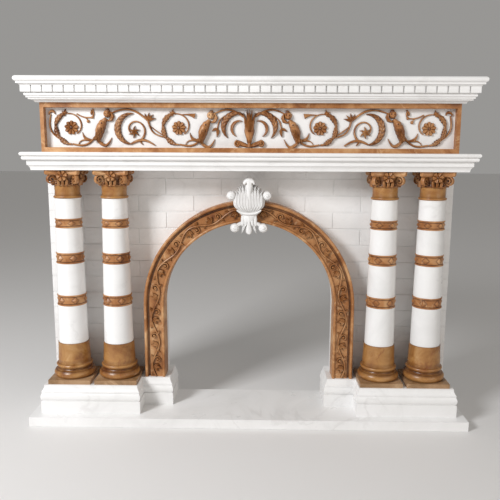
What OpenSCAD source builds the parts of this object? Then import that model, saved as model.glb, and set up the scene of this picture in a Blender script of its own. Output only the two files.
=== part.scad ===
// Fireplace mantel in two marbles: paired banded columns, a round arch and a carved frieze.
// X runs along the shelf, -Y faces the room, +Z is up. The origin is on the floor, mid width and mid depth.

/* [Hearth] */
// Thickness of the hearth slab
hearth_h = 40; // [25:1:80]
// How far the hearth shows in front of the column pedestals
hearth_lip = 45; // [10:1:120]
// How far the hearth shows beside the column pedestals
hearth_margin = 37.5; // [5:0.5:100]

/* [Pedestals] */
// Height of the plain block of a pedestal
pedestal_block_h = 52; // [30:1:120]
// Height of the rounded band over the block
pedestal_roll_h = 36; // [20:1:60]
// Height of the thin fillet over the rounded band
pedestal_fillet_h = 6; // [3:1:12]
// Height of the hollow slope under the top
pedestal_slope_h = 26; // [14:1:40]
// How far the top stands in from the block
pedestal_inset = 13; // [11:1:24]
// Plain edge left in front of the plinths
plinth_front_margin = 7; // [1:0.5:20]
// Plain edge left between a plinth and the opening's side of its pedestal
plinth_inner_margin = 4; // [1:0.5:20]
// Plain edge left between a plinth and the outer end of its pedestal
plinth_outer_margin = 15; // [1:0.5:30]
// How far the arch pedestals reach into the opening, past the jambs
jamb_ledge = 35; // [16:1:60]
// Edge of pedestal top left in front of the arch
arch_toe = 4; // [1:1:20]

/* [Columns] */
// Side of the square plinth
plinth_w = 179; // [177:1:240]
// Height of the square plinth
plinth_h = 18; // [10:1:40]
// Space between the two plinths of a pair
plinth_gap = 17; // [2:1:60]
// Height of the moulded base
base_h = 151; // [110:1:220]
// Height of the big roll of the base
base_roll_h = 30; // [20:1:40]
// How far the plinths stand off the panel
plinth_back_gap = 6; // [1:0.5:20]
// Radius of the big roll of the base
base_roll_r = 87; // [80:0.5:88]
// Radius of the thin roll of the base
base_bead_r = 75; // [71:0.5:78]
// Radius of the plain drum of the base
base_drum_r = 69; // [66:0.5:70]
// Shaft radius at its foot
shaft_r_low = 62; // [56:0.5:65]
// Shaft radius under the necking
shaft_r_high = 52; // [47:0.5:55]
// Height of the lowest marble drum
drum_1_h = 163; // [100:1:240]
// Height of the second marble drum
drum_2_h = 134; // [80:1:200]
// Height of the third marble drum
drum_3_h = 104; // [60:1:160]
// Height of the top marble drum
drum_4_h = 84; // [50:1:130]
// Height of the lower two rings
ring_h = 46; // [30:1:60]
// Height of the top ring
ring_top_h = 39; // [28:1:60]
// How far a ring stands out from the shaft
ring_proud = 4; // [2:0.5:8]
// How far the edges of a ring stand out from its band
ring_edge_proud = 2; // [1:0.5:4]
// Bosses round a ring
ring_bosses = 6; // [4:1:10]
// Height of the necking
necking_h = 52; // [30:1:80]
// Height of the capital
capital_h = 64; // [54:1:90]
// Side of the capital's top slab
capital_w = 145; // [125:1:180]
// Diameter of a corner scroll of the capital
volute_d = 40; // [30:1:44]

/* [Arch] */
// Radius of the opening
arch_r = 365; // [300:1:440]
// Width of the arch moulding
arch_w = 88; // [70:1:110]
// How far the arch moulding stands out from the panel
arch_proud = 88; // [40:1:120]
// Height of the straight jambs
jamb_h = 320; // [200:1:390]
// Space between the arch moulding and the column pedestals
arch_clearance = 2; // [1:1:30]
// Depth of the vine carving
vine_depth = 6; // [3:0.5:8]
// Length of arch taken by one bend of the vine
vine_step = 62; // [45:1:100]

/* [Brick panel] */
// Thickness of the panel
panel_t = 70; // [40:1:120]
// How far the panel's ends stand in from the pedestal blocks
panel_setback = 3; // [1:1:10]
// How far the panel's opening clears the arch's inner edge
panel_reveal = 4; // [1:1:10]
// Height of a course of bricks
course_h = 72; // [50:1:110]
// Length of a brick
brick_l = 240; // [160:1:320]
// Width of a joint
joint_w = 5; // [3:1:8]
// Depth of a joint
joint_depth = 3; // [2:0.5:5]

/* [Keystone] */
// How far the keystone stands out from the arch
keystone_proud = 52; // [35:1:70]
// Space between the keystone's top and the lower cornice
keystone_gap = 24; // [5:1:60]
// How far the keystone hangs below the crown of the opening
keystone_drop = 50; // [20:1:70]

/* [Lower cornice] */
// Height of the lower cornice
lower_cornice_h = 72; // [60:1:100]
// How far the lower cornice stands out from the frieze
lower_cornice_proud = 68; // [50:1:90]

/* [Frieze] */
// Height of the frieze
frieze_h = 196; // [150:1:260]
// How far the frieze stands in front of the columns' centre line
frieze_forward = 42; // [30:1:60]
// How far the frieze's ends stand in from the pedestal blocks
frieze_setback = 33; // [20:1:60]
// Width of the upright stiles of the frieze's frame
stile_w = 15; // [10:1:35]
// Width of the level rails of the frieze's frame
rail_w = 19; // [12:1:35]
// Depth of the recess in the frame
recess_d = 28; // [22:1:40]
// Thickness of the scroll carving
carving_t = 16; // [8:1:18]

/* [Upper cornice] */
// Height of the stepped mouldings under the dentils
bed_mould_h = 37; // [32:1:60]
// Height of the dentils
dentil_h = 25; // [18:1:45]
// Height of the mouldings over the dentils
crown_mould_h = 13; // [10:1:25]
// Thickness of the shelf
shelf_h = 22; // [12:1:40]
// How far the shelf stands out from the frieze
shelf_proud = 74; // [66:1:110]
// Wanted distance from one dentil to the next
dentil_pitch = 42.7; // [25:0.1:70]
// Width of the gap between dentils
dentil_gap = 6; // [4:0.5:12]
// Depth of the gap between dentils
dentil_depth = 8; // [4:1:9]

/* [Hidden] */
COLUMNS = ["left_outer", "left_inner", "right_inner", "right_outer"];
STAGES = ["plinth", "base", "drum_1", "ring_1", "drum_2", "ring_2", "drum_3", "ring_3", "drum_4",
          "necking", "capital"];

WHITE = "#ebe8e4";
BROWN = "#a8703c";
OCHRE = "#b1803f";
TAN = "#b98a63";
ROUND = 96;

// Plan of the pedestals and columns
pedestal_h = pedestal_block_h + pedestal_roll_h + pedestal_fillet_h + pedestal_slope_h;
pedestal_x0 = arch_r + arch_w + arch_clearance;
plinth_inner_x = pedestal_x0 + pedestal_inset + plinth_inner_margin + plinth_w / 2;
plinth_outer_x = plinth_inner_x + plinth_w + plinth_gap;
pedestal_x1 = plinth_outer_x + plinth_w / 2 + plinth_outer_margin + pedestal_inset;
pedestal_d = panel_t + plinth_back_gap + plinth_w + plinth_front_margin + pedestal_inset;
arch_pedestal_d = panel_t + arch_proud + arch_toe + pedestal_inset;
hearth_w = 2 * (pedestal_x1 + hearth_margin);
hearth_d = pedestal_d + hearth_lip;
wall_y = hearth_d / 2;
panel_y = wall_y - panel_t;
column_y = panel_y - plinth_back_gap - plinth_w / 2;
COLUMN_X = [-plinth_outer_x, -plinth_inner_x, plinth_inner_x, plinth_outer_x];

// Heights, from the floor up
floor_z = hearth_h;
pedestal_z = hearth_h + pedestal_h;
STAGE_H = [plinth_h, base_h, drum_1_h, ring_h, drum_2_h, ring_h, drum_3_h, ring_top_h, drum_4_h,
           necking_h, capital_h];
function stage_z(i) = pedestal_z + (i == 0 ? 0 : sum_to(STAGE_H, i - 1));
function sum_to(list, i) = list[i] + (i == 0 ? 0 : sum_to(list, i - 1));
column_top_z = stage_z(len(STAGE_H) - 1) + capital_h;
frieze_z = column_top_z + lower_cornice_h;
upper_z = frieze_z + frieze_h;
shelf_z = upper_z + bed_mould_h + dentil_h + crown_mould_h;

// The arch
spring_z = pedestal_z + jamb_h;
arch_y = panel_y - arch_proud;
field_y = arch_y + 8;

// The frieze
frieze_half = pedestal_x1 - frieze_setback;
frieze_y = column_y - frieze_forward;
frieze_d = wall_y - frieze_y;
window_half = frieze_half - stile_w;
window_z = frieze_z + rail_w;
window_h = frieze_h - 2 * rail_w;

// The keystone
keystone_top = column_top_z - keystone_gap;
keystone_bottom = spring_z + arch_r - keystone_drop;
keystone_h = keystone_top - keystone_bottom;
keystone_fit = 0.3;

// The shaft's radius at a height of its own, falling evenly from foot to necking
shaft_z0 = stage_z(2);
shaft_h = stage_z(9) - shaft_z0;
function shaft_r(z) = shaft_r_low - (shaft_r_low - shaft_r_high) * (z - shaft_z0) / shaft_h;

// ---------- helpers ----------

// A moulding mitred at its two front corners and cut flat at the wall. Its children draw one profile,
// from 0 out to $face and whatever stands proud of it; the profile runs along the front and both ends.
module mitred(half_w, depth, reach) {
    intersection() {
        translate([-half_w - reach, wall_y, 0]) rotate([90, 0, 90])
            linear_extrude(2 * (half_w + reach)) mirror([1, 0]) {
                $face = depth;
                children();
            }
        translate([0, wall_y, 0]) rotate([90, 0, 0]) linear_extrude(depth + reach) {
            $face = half_w;
            children();
            mirror([1, 0]) children();
        }
    }
}

// A plain member of a profile, from height z0 to z1
module member(z0, z1, out) {
    translate([0, z0]) square([$face + out, z1 - z0]);
}

// A rounded member whose face swells by bulge between z0 and z1
module rolled_member(z0, z1, out, bulge) {
    h = z1 - z0;
    r = (h * h / 4 + bulge * bulge) / (2 * bulge);
    member(z0, z1, out - bulge);
    intersection() {
        translate([$face + out - r, (z0 + z1) / 2]) circle(r, $fn = ROUND);
        translate([$face + out - bulge - 1, z0]) square([bulge + 1, h]);
    }
}

// A hollow member that widens from out0 at z0 to out1 at z1, or narrows when out1 is smaller
module hollow_member(z0, z1, out0, out1) {
    h = z1 - z0;
    wide = max(out0, out1);
    run = abs(out1 - out0);
    r = (h * h + run * run) / (2 * min(h, run));
    widest_z = out0 > out1 ? z0 : z1;
    toward = out0 > out1 ? 1 : -1;
    difference() {
        member(z0, z1, wide);
        translate([$face + wide + (run <= h ? r - run : 0), widest_z + toward * (run <= h ? h : r)])
            circle(r, $fn = ROUND);
    }
}

// A point between p1 and p2 on a smooth curve through p0, p1, p2 and p3
function curve_point(p0, p1, p2, p3, t) =
    (2 * p1 + (p2 - p0) * t + (2 * p0 - 5 * p1 + 4 * p2 - p3) * t * t
     + (3 * p1 - p0 - 3 * p2 + p3) * t * t * t) / 2;

// A smooth path through points of the form [x, z, width], with n steps between each two
function smooth(p, n = 4) = [
    for (i = [0 : len(p) - 2], j = [0 : n - 1])
        curve_point(p[max(i - 1, 0)], p[i], p[i + 1], p[min(i + 2, len(p) - 1)], j / n),
    p[len(p) - 1]
];

// The unit normal of a path at its point i
function path_normal(p, i) =
    let (a = p[max(i - 1, 0)], b = p[min(i + 1, len(p) - 1)], d = [b[0] - a[0], b[1] - a[1]])
    [-d[1], d[0]] / norm(d);

// A stem: the band that a path and its widths give
module stem(path, n = 4) {
    p = smooth(path, n);
    last = len(p) - 1;
    polygon([
        for (i = [0 : last]) [p[i][0], p[i][1]] + path_normal(p, i) * p[i][2] / 2,
        for (i = [last : -1 : 0]) [p[i][0], p[i][1]] - path_normal(p, i) * p[i][2] / 2
    ]);
}

// Points of a spiral round c, from radius r0 at angle a0 to r1 at a1, its width going from w0 to w1
function spiral(c, r0, r1, a0, a1, w0, w1, n = 8) = [
    for (i = [0 : n])
        let (t = i / n, r = r0 + (r1 - r0) * t, a = a0 + (a1 - a0) * t)
        [c[0] + r * cos(a), c[1] + r * sin(a), w0 + (w1 - w0) * t]
];

// A leaf with two pointed ends, from one point to another
module leaf(from, to, w) {
    d = to - from;
    l = norm(d);
    r = (l * l / 4 + w * w / 4) / w;
    translate((from + to) / 2) rotate(atan2(d[1], d[0]))
        intersection_for (s = [-1, 1]) translate([0, s * (r - w / 2)]) circle(r, $fn = 32);
}

// A flower of round petals
module flower(c, r, petals) {
    translate(c) {
        circle(r * 0.55, $fn = 24);
        for (i = [0 : petals - 1]) rotate(i * 360 / petals) translate([r * 0.66, 0])
            circle(r * 0.34, $fn = 16);
    }
}

// ---------- base, pedestals and panel ----------

module hearth_slab() {
    color(WHITE) translate([-hearth_w / 2, -hearth_d / 2, 0]) cube([hearth_w, hearth_d, hearth_h]);
}

module pedestal_profile() {
    roll_z = floor_z + pedestal_block_h;
    fillet_z = roll_z + pedestal_roll_h;
    slope_z = fillet_z + pedestal_fillet_h;
    member(floor_z, roll_z, 0);
    rolled_member(roll_z, fillet_z, 1, 7);
    member(fillet_z, slope_z, -3);
    hollow_member(slope_z, pedestal_z, -3, -pedestal_inset);
}

// Moulded pedestal between two X values, front face at depth from the wall
module moulded_pedestal(x0, x1, depth) {
    translate([(x0 + x1) / 2, 0, 0]) mitred((x1 - x0) / 2, depth, 2) pedestal_profile();
}

// The right-hand column pedestal. It's left square under the panel's end.
module column_pedestal() {
    moulded_pedestal(pedestal_x0, pedestal_x1, pedestal_d);
    seat = pedestal_inset + 6;
    translate([pedestal_x1 - seat, panel_y, floor_z]) cube([seat, panel_t, pedestal_h]);
}

// The right-hand arch pedestal, scribed to the side of the column pedestal
module arch_pedestal() {
    difference() {
        moulded_pedestal(arch_r - jamb_ledge, pedestal_x0 + 3 * pedestal_inset, arch_pedestal_d);
        moulded_pedestal(pedestal_x0, pedestal_x1, pedestal_d);
        translate([pedestal_x0 + pedestal_inset, -hearth_d, 0])
            cube([hearth_w, 2 * hearth_d, 2 * pedestal_z]);
    }
}

module column_pedestal_right() { color(WHITE) column_pedestal(); }
module column_pedestal_left() { color(WHITE) mirror([1, 0, 0]) column_pedestal(); }
module arch_pedestal_right() { color(WHITE) arch_pedestal(); }
module arch_pedestal_left() { color(WHITE) mirror([1, 0, 0]) arch_pedestal(); }

// The opening of radius r, drawn in the X and Z plane
module opening_outline(r) {
    translate([0, spring_z]) circle(r, $fn = 2 * ROUND);
    translate([-r, pedestal_z - 1]) square([2 * r, spring_z - pedestal_z + 1]);
}

// Stands an X and Z drawing up, with its front at y and its back at y + t
module upright(y, t) {
    translate([0, y + t, 0]) rotate([90, 0, 0]) linear_extrude(t) children();
}

module brick_panel() {
    half = pedestal_x1 - panel_setback;
    courses = floor((column_top_z - pedestal_z) / course_h);
    bricks = ceil(half / brick_l) + 1;
    color(WHITE) difference() {
        upright(panel_y, panel_t) difference() {
            translate([-half, pedestal_z]) square([2 * half, column_top_z - pedestal_z]);
            opening_outline(arch_r + panel_reveal);
        }
        for (i = [1 : courses])
            translate([-half - 1, panel_y - 1, pedestal_z + i * course_h - joint_w / 2])
                cube([2 * half + 2, joint_depth + 1, joint_w]);
        for (i = [0 : courses], j = [-bricks : bricks])
            if (abs(brick_x(i, j)) < half - joint_w)
                translate([brick_x(i, j) - joint_w / 2, panel_y - 1, pedestal_z + i * course_h])
                    cube([joint_w, joint_depth + 1, course_h]);
    }
}

// Where joint j of course i stands
function brick_x(i, j) = (j + (i % 2) / 2) * brick_l;

// ---------- arch ----------

// Section of the arch moulding: x out from the opening's edge, y from its back to its front
module arch_section() {
    bead = 6;
    roll = 6.5;
    groove = 10;
    field = arch_proud - (field_y - arch_y);
    square([arch_w - 2 * roll - groove, field]);
    square([arch_w, field - 8]);
    square([2 * bead, arch_proud - bead]);
    translate([bead, arch_proud - bead]) circle(bead, $fn = 48);
    translate([arch_w - 2 * roll, 0]) square([2 * roll, arch_proud - roll]);
    translate([arch_w - roll, arch_proud - roll]) circle(roll, $fn = 48);
}

// The vine: a wave that climbs both jambs and meets at the crown, with a leaf in each bend
vine_len = jamb_h + PI * (arch_r + arch_w / 2) / 2;
vine_bends = 2 * round(vine_len / vine_step / 2);
vine_r = arch_r + 12 + (arch_w - 35) / 2;
vine_swing = (arch_w - 35) / 2 - 9;

// A point of the right-hand half of the arch, s along it from the jamb's foot and out from its middle line
function along_arch(s, out) =
    s < jamb_h ? [vine_r + out, pedestal_z + s]
    : let (a = (s - jamb_h) / (vine_len - jamb_h) * 90)
      [(vine_r + out) * cos(a), spring_z + (vine_r + out) * sin(a)];

module vine_half() {
    steps = 8 * vine_bends;
    wave = [for (i = [0 : steps])
        let (s = vine_len * i / steps, out = vine_swing * sin(180 * vine_bends * s / vine_len))
        concat(along_arch(max(s, 2), out), 6)];
    stem(wave, 1);
    for (i = [0 : vine_bends - 1]) {
        side = i % 2 == 0 ? -1 : 1;
        mid = vine_len * (i + 0.5) / vine_bends;
        reach = vine_len / vine_bends * 0.42;
        leaf(along_arch(mid - reach, side * 2), along_arch(mid + reach * 0.6, side * (vine_swing + 4)), 13);
    }
}

module arch_surround() {
    color(BROWN) union() {
        translate([0, panel_y, spring_z]) rotate([90, 0, 0])
            rotate_extrude(angle = 180, $fn = 2 * ROUND) translate([arch_r, 0]) arch_section();
        for (s = [0, 1]) mirror([s, 0, 0])
            translate([arch_r, panel_y, pedestal_z])
                linear_extrude(jamb_h) mirror([0, 1]) arch_section();
        upright(field_y - vine_depth, vine_depth + 1) offset(delta = 0.01) {
            vine_half();
            mirror([1, 0]) vine_half();
        }
    }
}

// ---------- keystone ----------

// One lobe of the acanthus: a rounded finger swept through points of the form [x, z, forward, radius].
// x, z and the radius are shares of the keystone's height, from its bottom middle, and forward is a share
// of its projection.
module lobe(points) {
    for (i = [0 : len(points) - 2]) hull()
        for (p = [points[i], points[i + 1]])
            translate([p[0] * keystone_h, -p[2] * keystone_proud, p[1] * keystone_h])
                sphere(p[3] * keystone_h, $fn = 14);
}

module keystone() {
    crown_r = arch_r + arch_w + keystone_fit;
    back = 0.16 * keystone_h;
    root_front = 0.4 * keystone_proud;
    color(WHITE) translate([0, arch_y, keystone_bottom]) difference() {
        union() {
            // the root that ties the leaf back to the panel over the arch
            translate([-back, -root_front, 0.42 * keystone_h])
                cube([2 * back, arch_proud + root_front, 0.45 * keystone_h]);
            // the middle rib, the curled top and the stem
            lobe([[0, 0.48, 0.4, 0.1], [0, 0.75, 0.35, 0.09], [0, 0.93, 0.6, 0.07]]);
            lobe([[-0.07, 0.92, 0.5, 0.05], [0.07, 0.92, 0.5, 0.05]]);
            lobe([[0, 0.38, 0.35, 0.11], [0, 0.26, 0.45, 0.09], [0, 0.065, 0.5, 0.065]]);
            for (s = [-1, 1]) {
                // the broad leaf, its cup and its pointed tips
                lobe([[s * 0.14, 0.49, 0.4, 0.1], [s * 0.11, 0.7, 0.3, 0.085], [s * 0.15, 0.85, 0.4, 0.025]]);
                lobe([[s * 0.06, 0.47, 0.4, 0.1], [s * 0.17, 0.48, 0.4, 0.09], [s * 0.22, 0.74, 0.4, 0.025]]);
                // the upper scroll
                lobe([[s * 0.18, 0.56, 0.3, 0.05], [s * 0.26, 0.61, 0.25, 0.035],
                      [s * 0.31, 0.67, 0.4, 0.08]]);
                // the skirt of the stem and the lower scroll
                lobe([[s * 0.05, 0.36, 0.35, 0.1], [s * 0.07, 0.25, 0.35, 0.075],
                      [s * 0.13, 0.03, 0.45, 0.022]]);
                lobe([[s * 0.08, 0.22, 0.35, 0.06], [s * 0.24, 0.12, 0.4, 0.085]]);
            }
        }
        // what would lie behind the face of the arch, or below the arch's outer edge
        translate([0, 0, spring_z - keystone_bottom]) rotate([-90, 0, 0])
            cylinder(arch_proud + 1, r = crown_r, $fn = 2 * ROUND);
        translate([-keystone_h, arch_proud, -keystone_h]) cube([2 * keystone_h, keystone_h, 3 * keystone_h]);
    }
}

// ---------- columns ----------

module plinth() {
    color(TAN) translate([-plinth_w / 2, -plinth_w / 2, 0]) cube([plinth_w, plinth_w, plinth_h]);
}

module base() {
    roll_r = base_roll_h / 2;
    neck_z = base_roll_h + 4;
    bead_z = neck_z + 8;
    bead_h = 14;
    color(OCHRE) rotate_extrude($fn = ROUND) {
        square([base_roll_r - roll_r, base_roll_h]);
        translate([base_roll_r - roll_r, roll_r]) circle(roll_r, $fn = 48);
        square([base_drum_r + 3, neck_z]);
        difference() {
            square([base_drum_r + 3, bead_z]);
            translate([base_drum_r + 5, (neck_z + bead_z) / 2]) circle(4.4, $fn = 32);
        }
        translate([0, bead_z]) square([base_bead_r - bead_h / 2, bead_h]);
        translate([base_bead_r - bead_h / 2, bead_z + bead_h / 2]) circle(bead_h / 2, $fn = 32);
        square([base_drum_r, base_h]);
    }
}

// A marble drum of the shaft, stage i
module drum(i) {
    z = stage_z(i);
    color(WHITE) cylinder(STAGE_H[i], r1 = shaft_r(z), r2 = shaft_r(z + STAGE_H[i]), $fn = ROUND);
}

// A ring of the shaft, stage i, with a raised edge above and below and a diamond at each boss
module ring(i) {
    r = shaft_r(stage_z(i) + STAGE_H[i] / 2) + ring_proud;
    edge = 7;
    h = STAGE_H[i];
    boss = (h - 2 * edge) * 0.46;
    color(BROWN) union() {
        cylinder(h, r = r, $fn = ROUND);
        for (z = [0, h - edge]) translate([0, 0, z]) cylinder(edge, r = r + ring_edge_proud, $fn = ROUND);
        for (b = [0 : ring_bosses - 1]) rotate(-90 + (b + 0.5) * 360 / ring_bosses)
            translate([r - boss / 2, 0, h / 2]) rotate([45, 0, 0])
                cube([boss + 2 * ring_edge_proud, boss, boss], center = true);
    }
}

module necking() {
    flange_h = 9;
    color(OCHRE) union() {
        cylinder(necking_h, r = shaft_r_high, $fn = ROUND);
        cylinder(flange_h, r = shaft_r_high + 4, $fn = ROUND);
    }
}

module capital() {
    slab_h = 20;
    half = capital_w / 2;
    corner = half * sqrt(2) - 12;
    hollow_d = 13;
    hollow_r = capital_w * 0.9;
    scroll_w = 15;
    r = volute_d / 2;
    bell_r = shaft_r_high + 2;
    flower_r = 22;
    petals = 5;
    color(BROWN) union() {
        cylinder(capital_h, r = bell_r, $fn = ROUND);
        // top slab with hollow sides and cut corners
        translate([0, 0, capital_h - slab_h]) intersection() {
            linear_extrude(slab_h) difference() {
                square(capital_w, center = true);
                for (a = [0 : 90 : 270])
                    rotate(a) translate([half + hollow_r - hollow_d, 0]) circle(hollow_r, $fn = ROUND);
            }
            rotate(45) translate([-corner, -corner, 0]) cube([2 * corner, 2 * corner, slab_h]);
        }
        for (a = [45 : 90 : 315]) rotate(a) {
            // a scroll under each corner, its eyes facing left and right of the diagonal
            translate([corner - r, 0, r + 2]) rotate([90, 0, 0]) {
                cylinder(scroll_w, r = r, center = true, $fn = 48);
                cylinder(scroll_w + 6, r = r * 0.4, center = true, $fn = 32);
            }
            translate([bell_r - 12, -scroll_w / 2, r])
                cube([corner - r - bell_r + 12, scroll_w, capital_h - slab_h - r + 1]);
        }
        for (a = [0 : 90 : 270]) rotate(a - 90) {
            // a flower on the middle of each side
            translate([bell_r - 4, 0, capital_h - 25]) rotate([0, 90, 0]) {
                cylinder(half - bell_r, r = flower_r * 0.7, $fn = 32);
                for (k = [0 : petals - 1]) rotate(k * 360 / petals)
                    translate([flower_r * 0.62, 0, 0])
                        cylinder(half - bell_r + 4, r = flower_r * 0.38, $fn = 20);
                cylinder(half - bell_r + 4, r = 5, $fn = 20);
            }
            // upright tongues on the bell
            for (k = [-1 : 1]) rotate(k * 17) translate([bell_r - 1, 0, 0]) {
                cylinder(22, r = 7, $fn = 20);
                translate([0, 0, 22]) sphere(7, $fn = 20);
            }
        }
    }
}

// Stage i of column k, by its name
module column_piece(k, i) {
    translate([COLUMN_X[k], column_y, stage_z(i)]) {
        if (STAGES[i] == "plinth") plinth();
        if (STAGES[i] == "base") base();
        if (i == 2 || i == 4 || i == 6 || i == 8) drum(i);
        if (i == 3 || i == 5 || i == 7) ring(i);
        if (STAGES[i] == "necking") necking();
        if (STAGES[i] == "capital") capital();
    }
}

// ---------- entablature ----------

module lower_cornice() {
    z = column_top_z;
    p = lower_cornice_proud;
    edge_h = 16;
    top = frieze_z;
    flat_z = z + 21;
    color(WHITE) mitred(frieze_half, frieze_d, p + 2) {
        hollow_member(z, flat_z, p - 32, p - 22);
        member(flat_z, top - 2 * edge_h, p - 21);
        rolled_member(top - 2 * edge_h, top - edge_h, p - 6, 6);
        rolled_member(top - edge_h, top, p, 6);
    }
}

module frieze_frame() {
    color(BROWN) upright(frieze_y, recess_d) difference() {
        translate([-frieze_half, frieze_z]) square([2 * frieze_half, frieze_h]);
        translate([-window_half, window_z]) square([2 * window_half, window_h]);
    }
}

module frieze_panel() {
    color(WHITE) translate([-frieze_half, frieze_y + recess_d, frieze_z])
        cube([2 * frieze_half, frieze_d - recess_d, frieze_h]);
}

// The carving is laid out on a window of this half width and height, and stretched to the real one
LAYOUT_HALF = 826;
LAYOUT_H = 153;
module laid_out() {
    translate([0, window_z]) offset(delta = 0.01)
        scale([window_half / LAYOUT_HALF, window_h / LAYOUT_H]) children();
}

// A round scroll of foliage, with a flower in its eye, a leaf at its tip and flames at its foot
module foliage_scroll(c) {
    stem(spiral(c, 68, 66, 268, 105, 9, 15));
    stem(spiral(c, 60, 32, 118, -40, 9, 5));
    leaf(c + [-26, 48], c + [-22, 73], 12);
    stem([[c[0] - 2, 5, 10], [c[0] + 30, 6, 10], [c[0] + 60, 11, 10], [c[0] + 88, 28, 9],
          [c[0] + 100, 46, 7]]);
    stem([[c[0] + 42, 58, 3], [c[0] + 48, 40, 11], [c[0] + 66, 30, 13], [c[0] + 84, 28, 8]]);
    stem([[c[0] + 16, 8, 7], [c[0] + 34, 24, 5], [c[0] + 56, 27, 6]]);
    flower(c, 27, 8);
    stem([[c[0] - 56, 46, 6], [c[0] - 36, 58, 6], [c[0] - 20, 66, 8]]);
}

// A crouching beast, its head up and its tail curled
module grotesque(head, tail) {
    translate(head) circle(17, $fn = 24);
    stem([[head[0], head[1], 20], [head[0] - 14, head[1] - 22, 32], [head[0] - 22, head[1] - 50, 42],
             [head[0] - 30, head[1] - 78, 30], [head[0] - 30, head[1] - 102, 20], [head[0] - 16, 10, 14],
             [tail[0] - 10, 8, 10], [tail[0], tail[1], 7]]);
}

// The left half of the carving, as far as the vase
module carving_half() {
    // the tendril by the stile
    stem([[-806, 122, 4], [-796, 130, 9], [-784, 126, 4]]);
    stem([[-796, 126, 6], [-802, 100, 6], [-803, 70, 7], [-796, 44, 7], [-776, 30, 6], [-756, 24, 6]]);
    foliage_scroll([-714, 73]);
    // the stem that leaves the first scroll, with its berries
    stem([[-690, 126, 8], [-659, 114, 8], [-636, 116, 8], [-626, 130, 7], [-632, 146, 4]]);
    leaf([-652, 116], [-646, 92], 14);
    leaf([-634, 120], [-612, 112], 14);
    grotesque([-573, 126], [-548, 34]);
    // over to the half-moon leaf, and down to the next scroll
    stem([[-574, 136, 7], [-534, 144, 7], [-498, 146, 7], [-464, 142, 7], [-440, 130, 8], [-416, 114, 8],
             [-404, 96, 8], [-398, 74, 8], [-388, 54, 8], [-370, 42, 8], [-344, 36, 8]]);
    for (t = [[-420, 132], [-404, 136], [-390, 130], [-376, 116]]) leaf([-412, 104], t, 9);
    stem([[-398, 80, 6], [-378, 64, 5], [-350, 50, 5]]);
    stem([[-448, 134, 6], [-490, 127, 14], [-518, 112, 20], [-532, 89, 23], [-535, 62, 23], [-527, 36, 21],
             [-504, 17, 17], [-476, 9, 13], [-450, 15, 10], [-436, 38, 8], [-424, 62, 8], [-427, 85, 8],
             [-440, 101, 8], [-460, 104, 8], [-480, 95, 8], [-491, 74, 7], [-486, 56, 7], [-474, 50, 7]]);
    stem([[-452, 16, 8], [-420, 24, 6], [-402, 22, 7], [-390, 10, 11]]);
    flower([-464, 67], 20, 5);
    foliage_scroll([-284, 75]);
    // the trumpet flower
    stem([[-262, 117, 6], [-246, 127, 9], [-226, 119, 17]]);
    grotesque([-164, 120], [-140, 32]);
    // over to the vase, with two half-moons under it
    stem([[-165, 130, 7], [-132, 142, 7], [-100, 146, 7], [-66, 144, 7], [-44, 132, 8], [-38, 108, 8]]);
    stem([[-37, 106, 8], [-58, 123, 12], [-86, 117, 16], [-104, 101, 18], [-110, 77, 18], [-105, 50, 14],
             [-94, 31, 10], [-82, 26, 6]]);
    stem([[-37, 106, 8], [-54, 97, 9], [-69, 85, 11], [-74, 68, 11], [-69, 52, 8], [-60, 42, 6]]);
    stem([[-106, 106, 7], [-124, 98, 6], [-131, 80, 6], [-134, 62, 8], [-128, 46, 9], [-112, 48, 6]]);
}

module carving_left() {
    upright(frieze_y + recess_d - carving_t, carving_t) laid_out() carving_half();
}

module frieze_carving_left() { color(BROWN) carving_left(); }
module frieze_carving_right() { color(BROWN) mirror([1, 0, 0]) carving_left(); }

// The bundle of leaves in a vase at the middle of the frieze
module frieze_vase() {
    t = carving_t + 3;
    color(BROWN) upright(frieze_y + recess_d - t, t) laid_out() {
        stem([[0, 6, 34], [0, 24, 16], [0, 52, 34], [0, 88, 48], [0, 108, 50]]);
        for (tip = [[-26, 142], [-13, 147], [0, 149], [13, 147], [26, 142]])
            leaf([tip[0] * 0.4, 92], tip, 15);
        for (s = [-1, 1]) stem([[s * 6, 14, 14], [s * 34, 18, 18], [s * 62, 9, 7]]);
    }
}

module dentil_cornice() {
    z = upper_z;
    dentil_z = z + bed_mould_h;
    crown_z = dentil_z + dentil_h;
    p = shelf_proud - 20;
    hollow_h = floor(crown_mould_h / 2);
    along = 2 * (frieze_half + p);
    front_n = round(along / dentil_pitch);
    front_step = along / front_n;
    side_n = round((frieze_d + p) / dentil_pitch);
    side_step = (frieze_d + p) / side_n;
    color(WHITE) difference() {
        mitred(frieze_half, frieze_d, shelf_proud) {
            hollow_member(z, z + 10, p - 41, p - 26);
            member(z + 10, z + 16, p - 21);
            member(z + 16, z + 22, p - 15);
            rolled_member(z + 22, dentil_z - 3, p - 9, 5);
            member(dentil_z - 3, dentil_z, p - 12);
            member(dentil_z, crown_z, p);
            hollow_member(crown_z, crown_z + hollow_h, p + 2, p + 8);
            member(crown_z + hollow_h, shelf_z, p + 12);
        }
        for (i = [1 : front_n - 1])
            translate([-along / 2 + i * front_step - dentil_gap / 2, frieze_y - p - 1, dentil_z])
                cube([dentil_gap, dentil_depth + 1, dentil_h]);
        for (s = [0, 1]) mirror([s, 0, 0]) for (i = [1 : side_n - 1])
            translate([frieze_half + p - dentil_depth, wall_y - i * side_step - dentil_gap / 2, dentil_z])
                cube([dentil_depth + 1, dentil_gap, dentil_h]);
    }
}

module mantel_shelf() {
    color(WHITE) mitred(frieze_half, frieze_d, shelf_proud + 2)
        rolled_member(shelf_z, shelf_z + shelf_h, shelf_proud, shelf_h * 0.4);
}

// ---------- which node is drawn ----------

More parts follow.
